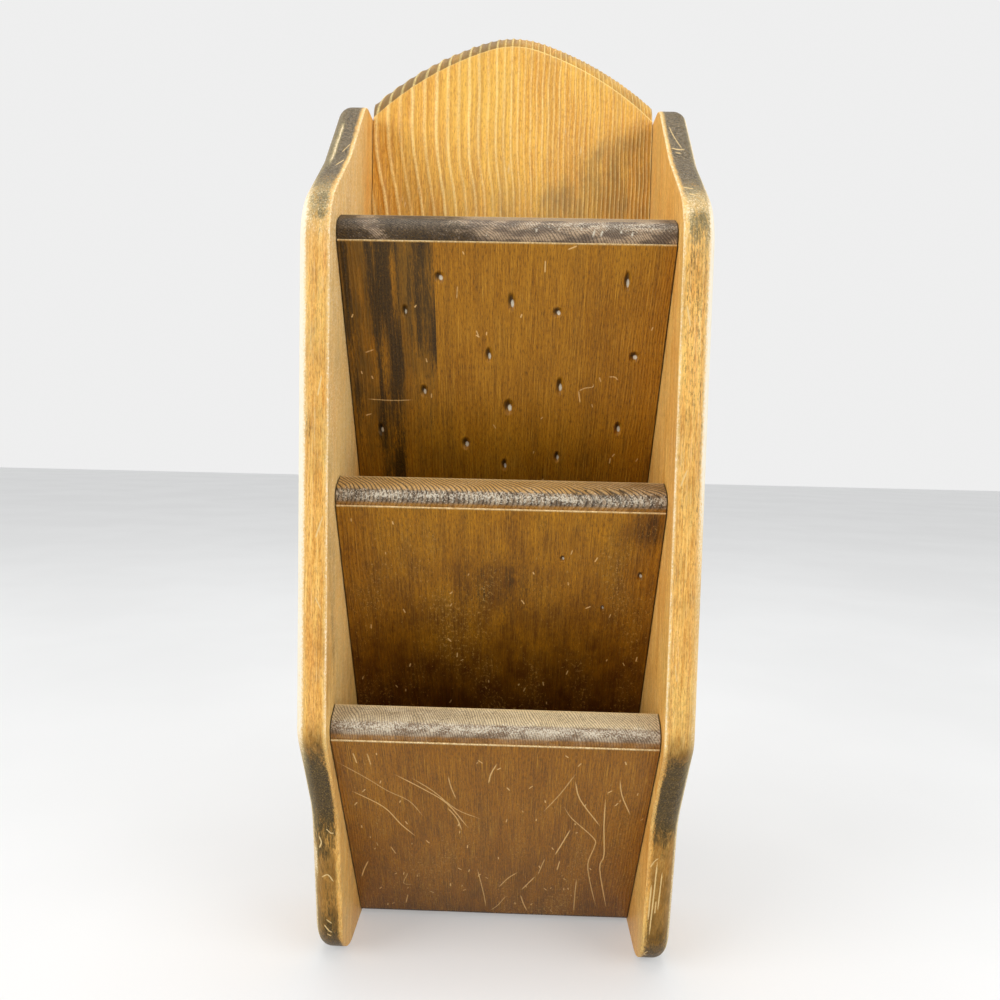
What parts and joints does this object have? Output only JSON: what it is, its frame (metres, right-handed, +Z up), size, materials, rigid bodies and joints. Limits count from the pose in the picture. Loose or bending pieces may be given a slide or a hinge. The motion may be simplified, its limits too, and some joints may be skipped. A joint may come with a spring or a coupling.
{
  "type": "wall letter holder",
  "caption": "Slim wooden wall rack with an arched back board, shaped sides and slanted boards that make V-shaped pockets for letters.",
  "frame": {"origin": "middle of the width and of the depth, on the plane of the feet", "axes": "+X to the viewer's right, +Y towards the wall, +Z up"},
  "size_m": [0.165, 0.0966, 0.446],
  "materials": {
    "golden_pine": "honey-stained pine with raised pale growth lines, satin",
    "side_pine": "honey-stained pine, dark stain on the shaped ends, pale worn arrises",
    "brown_pine": "brown-stained pine, scratched and dented, grey-brown end grain",
    "nail_steel": "dull finishing-nail steel"
  },
  "bodies": {
    "root": {"back_board": "golden_pine", "left_side": "side_pine", "right_side": "side_pine", "top_pocket_board": "brown_pine", "middle_pocket_board": "brown_pine", "bottom_pocket_board": "brown_pine", "back_board_nails": "nail_steel", "top_pocket_nails": "nail_steel", "middle_pocket_nails": "nail_steel", "bottom_pocket_nails": "nail_steel"}
  },
  "joints": []
}
